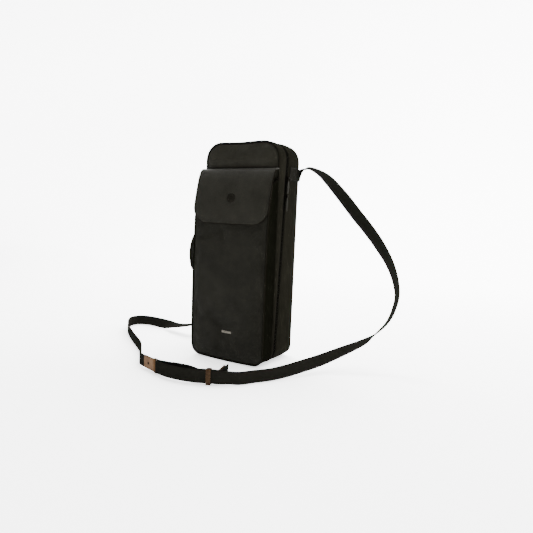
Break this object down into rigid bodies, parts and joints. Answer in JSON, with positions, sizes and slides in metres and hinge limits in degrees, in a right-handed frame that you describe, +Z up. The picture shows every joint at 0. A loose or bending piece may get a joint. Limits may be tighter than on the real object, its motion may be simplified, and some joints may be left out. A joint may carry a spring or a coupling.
{
  "type": "drum stick bag",
  "caption": "Upright padded drum stick bag that opens like a book, with a flapped front pocket, side handle and webbing shoulder strap.",
  "frame": {"origin": "middle of the base under the main compartment, on the ground", "axes": "+Z up along the bag's height, -Y out of the front pocket, +X to the right seen from the front"},
  "size_m": [0.6911, 0.3225, 0.46],
  "materials": {
    "canvas": "waxed canvas, very dark olive",
    "gusset_canvas": "waxed canvas on the sides, a little lighter",
    "edge_binding": "folded canvas binding",
    "lining": "plain woven lining",
    "stiffener": "stiffener board",
    "webbing": "ribbed webbing",
    "dark_metal": "blackened metal",
    "aged_brass": "worn copper-brown metal",
    "tan_leather": "tan leather",
    "dark_leather": "dark olive leather",
    "badge_metal": "satin metal"
  },
  "bodies": {
    "rear_shell": {"back_panel": "canvas", "back_board": "stiffener", "rear_gusset": "gusset_canvas", "rear_spine": "gusset_canvas", "rear_piping": "edge_binding", "rear_zip_tape": "webbing", "rear_zip_teeth": "dark_metal", "rear_lining": "lining", "base_panel": "dark_leather", "stick_pocket_panel": "lining", "stick_pocket_dividers": "lining", "stick_pocket_binding": "webbing", "strap_anchor_top": "webbing", "strap_anchor_bottom": "webbing", "shoulder_strap_long": "webbing", "shoulder_strap_short": "webbing", "strap_leather_tab": "tan_leather", "strap_tab_rivet": "aged_brass"},
    "front_cover": {"front_panel": "canvas", "front_board": "stiffener", "front_gusset": "gusset_canvas", "front_spine": "gusset_canvas", "front_piping": "edge_binding", "front_zip_tape": "webbing", "front_zip_teeth": "dark_metal", "front_lining": "lining", "organiser_pocket": "lining", "organiser_binding": "webbing", "pocket_face": "canvas", "pocket_gusset": "gusset_canvas", "pocket_piping": "edge_binding", "pocket_hem": "gusset_canvas", "flap_root": "canvas", "snap_stud": "dark_metal", "blank_badge": "badge_metal", "handle_tabs": "dark_leather", "handle_rivets": "dark_metal"},
    "pocket_flap": {"flap_outer": "canvas", "flap_lining": "lining", "flap_binding": "edge_binding", "snap_cap": "dark_leather", "snap_socket": "dark_metal"},
    "handle": {"handle_webbing": "webbing", "handle_grip": "dark_leather"},
    "zip_slider_upper": {"zip_slider_upper": "dark_metal"},
    "zip_slider_lower": {"zip_slider_lower": "dark_metal"},
    "zip_pull_upper": {"zip_pull_upper": "dark_leather"},
    "zip_pull_lower": {"zip_pull_lower": "dark_leather"},
    "strap_adjuster": {"strap_adjuster": "aged_brass"},
    "strap_ring": {"strap_ring": "aged_brass"}
  },
  "joints": [
    {"name": "cover_hinge", "type": "hinge", "parent": "rear_shell", "child": "front_cover", "pos_m": [-0.091, -0.0315, 0], "axis": [0, -0.0549, -0.9985], "range_deg": [0, 65]},
    {"name": "flap_hinge", "type": "hinge", "parent": "front_cover", "child": "pocket_flap", "pos_m": [0, -0.052, 0.4027], "axis": [-1, 0, 0], "range_deg": [0, 120]},
    {"name": "handle_swing", "type": "hinge", "parent": "front_cover", "child": "handle", "pos_m": [-0.097, -0.04348, 0.00066], "axis": [0, 0.0549, 0.9985], "range_deg": [-20, 20]},
    {"name": "slider_upper_travel", "type": "slide", "parent": "rear_shell", "child": "zip_slider_upper", "axis": [0, 0.0549, 0.9985], "range_m": [0, 0.03]},
    {"name": "slider_lower_travel", "type": "slide", "parent": "rear_shell", "child": "zip_slider_lower", "axis": [0, 0.0549, 0.9985], "range_m": [-0.3, 0]},
    {"name": "pull_upper_swing", "type": "hinge", "parent": "zip_slider_upper", "child": "zip_pull_upper", "pos_m": [0.0952, -0.01022, 0.38692], "axis": [0, -0.9985, 0.0549], "range_deg": [0, 120]},
    {"name": "pull_lower_swing", "type": "hinge", "parent": "zip_slider_lower", "child": "zip_pull_lower", "pos_m": [0.0952, -0.0122, 0.35097], "axis": [0, -0.9985, 0.0549], "range_deg": [0, 120]},
    {"name": "adjuster_travel", "type": "slide", "parent": "rear_shell", "child": "strap_adjuster", "axis": [-0.9063, -0.4226, 0], "range_m": [-0.006, 0.006]},
    {"name": "ring_swing", "type": "hinge", "parent": "rear_shell", "child": "strap_ring", "pos_m": [-0.0659, -0.22061, 0.015], "axis": [0, 0, 1], "range_deg": [-4, 4]}
  ]
}
